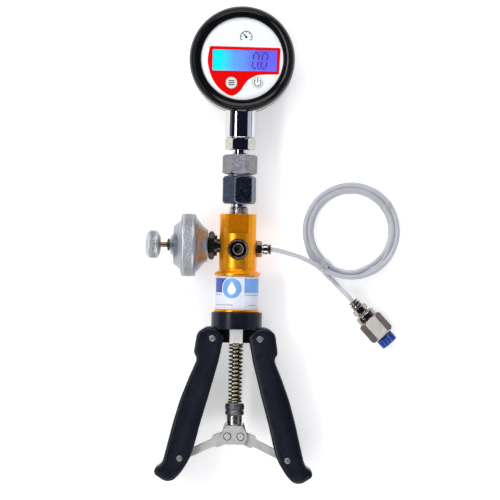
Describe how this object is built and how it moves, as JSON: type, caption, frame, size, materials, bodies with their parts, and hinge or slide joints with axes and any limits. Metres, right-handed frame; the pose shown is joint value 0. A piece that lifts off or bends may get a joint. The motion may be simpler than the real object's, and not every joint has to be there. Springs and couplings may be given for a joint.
{
  "type": "hand vacuum pump",
  "caption": "Hand vacuum pump with squeeze handles, digital gauge, fine volume adjuster with vent knob, and a coiled hose with a capped connector.",
  "frame": {"origin": "centre of the gauge's flat back, which lies on the ground, under the pump's axis", "axes": "+Y up the pump towards the gauge, +X to the side of the hose, +Z out of the gauge's face"},
  "size_m": [0.2146, 0.3977, 0.0529],
  "materials": {
    "case_plastic": "black moulded plastic",
    "boot_rubber": "black rubber with a satin gloss",
    "face_print": "white printed membrane with a red panel",
    "window_glass": "clear window",
    "lcd_blue": "backlit blue display",
    "button_grey": "pale membrane button",
    "board_green": "green circuit board",
    "battery_wrap": "shrink-wrapped cell",
    "chrome_steel": "polished, chromed",
    "plain_steel": "turned steel",
    "grey_steel": "satin grey steel",
    "dark_steel": "dark satin steel",
    "nickel_plate": "nickel plate",
    "gold_anodised": "gold anodised, turned",
    "label_paper": "pale printed label",
    "black_anodised": "satin black",
    "black_oxide": "black oxide, oiled",
    "bright_aluminium": "milled, bright",
    "stainless_sheet": "brushed stainless sheet",
    "bronze": "dull bronze",
    "seal_rubber": "black nitrile",
    "spring_steel": "spring steel with a straw tint",
    "knob_aluminium": "turned and knurled aluminium",
    "clear_hose": "milky, half clear tube",
    "cap_blue": "blue moulded plastic"
  },
  "bodies": {
    "root": {"gauge_case": "case_plastic", "battery_cover": "case_plastic", "gauge_boot": "boot_rubber", "gauge_faceplate": "face_print", "lcd_window": "window_glass", "lcd_module": "lcd_blue", "circuit_board": "board_green", "battery": "battery_wrap", "pressure_sensor": "plain_steel", "gauge_stem": "chrome_steel", "union_adapter": "grey_steel", "union_nut": "dark_steel", "inlet_nipple": "plain_steel", "pump_head": "gold_anodised", "selector_ring": "nickel_plate", "cylinder": "gold_anodised", "label_sleeve": "label_paper", "collar": "black_anodised", "rod_guide": "bronze", "pivot_yoke": "bright_aluminium", "return_spring": "spring_steel", "pivot_pin_left": "stainless_sheet", "pivot_pin_right": "stainless_sheet", "gland_nut": "black_oxide", "adjuster_barrel": "plain_steel", "hose_fitting": "nickel_plate", "hose_lead_in": "clear_hose", "hose_coil": "clear_hose", "hose_tail": "clear_hose", "connector_body": "nickel_plate"},
    "handle_left": {"handle_left": "black_anodised", "link_pin_left": "stainless_sheet"},
    "handle_right": {"handle_right": "black_anodised", "link_pin_right": "stainless_sheet"},
    "link_left": {"link_left": "stainless_sheet"},
    "link_right": {"link_right": "stainless_sheet"},
    "rod": {"piston": "bright_aluminium", "piston_seal": "seal_rubber", "piston_rod": "plain_steel", "knurled_nut_upper": "dark_steel", "knurled_nut_lower": "dark_steel", "rod_head": "plain_steel", "head_plate_front": "stainless_sheet", "head_plate_back": "stainless_sheet", "head_pin_left": "plain_steel", "head_pin_right": "plain_steel"},
    "adjuster_piston": {"adjuster_piston": "plain_steel", "adjuster_end_bush": "black_oxide"},
    "volume_knob": {"volume_knob": "knob_aluminium"},
    "vent_needle": {"vent_needle": "plain_steel"},
    "vent_knob": {"vent_knob": "knob_aluminium", "vent_spindle": "bronze"},
    "selector_spool": {"selector_spool": "black_oxide"},
    "menu_button": {"menu_button": "button_grey"},
    "power_button": {"power_button": "button_grey"},
    "fitting_release_ring": {"fitting_release_ring": "black_oxide"},
    "connector_release_ring": {"connector_release_ring": "nickel_plate"},
    "blue_cap": {"blue_cap": "cap_blue"},
    "inlet_check_ball": {"inlet_check_ball": "plain_steel"},
    "outlet_check_ball": {"outlet_check_ball": "plain_steel"}
  },
  "joints": [
    {"name": "handle_left_squeeze", "type": "hinge", "parent": "root", "child": "handle_left", "pos_m": [-0.0199, -0.2335, 0.0265], "axis": [0, 0, 1], "range_deg": [0, 9], "stiffness_Nm_per_rad": 3, "springref_deg": -6.88},
    {"name": "handle_right_squeeze", "type": "hinge", "parent": "root", "child": "handle_right", "pos_m": [0.0199, -0.2335, 0.0265], "axis": [0, 0, 1], "range_deg": [-9.1, 0]},
    {"name": "rod_stroke", "type": "slide", "parent": "root", "child": "rod", "axis": [0, 1, 0], "range_m": [0, 0.0168], "deforming": ["return_spring"]},
    {"name": "link_left_swing", "type": "hinge", "parent": "handle_left", "child": "link_left", "pos_m": [-0.0451, -0.3344, 0.0265], "axis": [0, 0, 1], "range_deg": [0, 24.4]},
    {"name": "link_right_swing", "type": "hinge", "parent": "handle_right", "child": "link_right", "pos_m": [0.0451, -0.3344, 0.0265], "axis": [0, 0, 1], "range_deg": [-24.4, 0]},
    {"name": "adjuster_travel", "type": "slide", "parent": "root", "child": "adjuster_piston", "axis": [-1, 0, 0], "range_m": [0, 0.01]},
    {"name": "volume_knob_turn", "type": "hinge", "parent": "adjuster_piston", "child": "volume_knob", "pos_m": [-0.0417, -0.156, 0.0265], "axis": [-1, 0, 0], "range_deg": [0, 1810]},
    {"name": "vent_travel", "type": "slide", "parent": "adjuster_piston", "child": "vent_needle", "axis": [-1, 0, 0], "range_m": [0, 0.0015]},
    {"name": "vent_knob_turn", "type": "hinge", "parent": "vent_needle", "child": "vent_knob", "pos_m": [-0.0714, -0.156, 0.0265], "axis": [-1, 0, 0], "range_deg": [0, 545]},
    {"name": "selector_shift", "type": "slide", "parent": "root", "child": "selector_spool", "axis": [0, 0, 1], "range_m": [0, 0.004]},
    {"name": "menu_button_press", "type": "slide", "parent": "root", "child": "menu_button", "axis": [0, 0, -1], "range_m": [0, 0.0005], "stiffness_N_per_m": 400, "springref_m": -0.001},
    {"name": "power_button_press", "type": "slide", "parent": "root", "child": "power_button", "axis": [0, 0, -1], "range_m": [0, 0.0005], "stiffness_N_per_m": 400, "springref_m": -0.001},
    {"name": "fitting_release", "type": "slide", "parent": "root", "child": "fitting_release_ring", "axis": [-1, 0, 0], "range_m": [0, 0.0006], "stiffness_N_per_m": 300, "springref_m": -0.0005},
    {"name": "connector_release", "type": "slide", "parent": "root", "child": "connector_release_ring", "axis": [0.6814, -0.7319, 0], "range_m": [0, 0.0006], "stiffness_N_per_m": 300, "springref_m": -0.0005},
    {"name": "cap_pull", "type": "slide", "parent": "root", "child": "blue_cap", "axis": [0.6814, -0.7319, 0], "range_m": [0, 0.015]},
    {"name": "inlet_check_lift", "type": "slide", "parent": "root", "child": "inlet_check_ball", "axis": [0, 1, 0], "range_m": [0, 0.001], "stiffness_N_per_m": 40, "springref_m": -0.001},
    {"name": "outlet_check_lift", "type": "slide", "parent": "root", "child": "outlet_check_ball", "axis": [0, -1, 0], "range_m": [0, 0.001], "stiffness_N_per_m": 40, "springref_m": -0.001}
  ],
  "couplings": [
    {"joint": "handle_right_squeeze", "follows": "handle_left_squeeze", "ratio": -1},
    {"joint": "rod_stroke", "follows": "handle_left_squeeze", "m_per_rad": 0.10657},
    {"joint": "link_left_swing", "follows": "handle_left_squeeze", "ratio": 2.7},
    {"joint": "link_right_swing", "follows": "handle_left_squeeze", "ratio": -2.7},
    {"joint": "volume_knob_turn", "follows": "adjuster_travel", "rad_per_m": 3141.6},
    {"joint": "vent_knob_turn", "follows": "vent_travel", "rad_per_m": 6283.2}
  ]
}
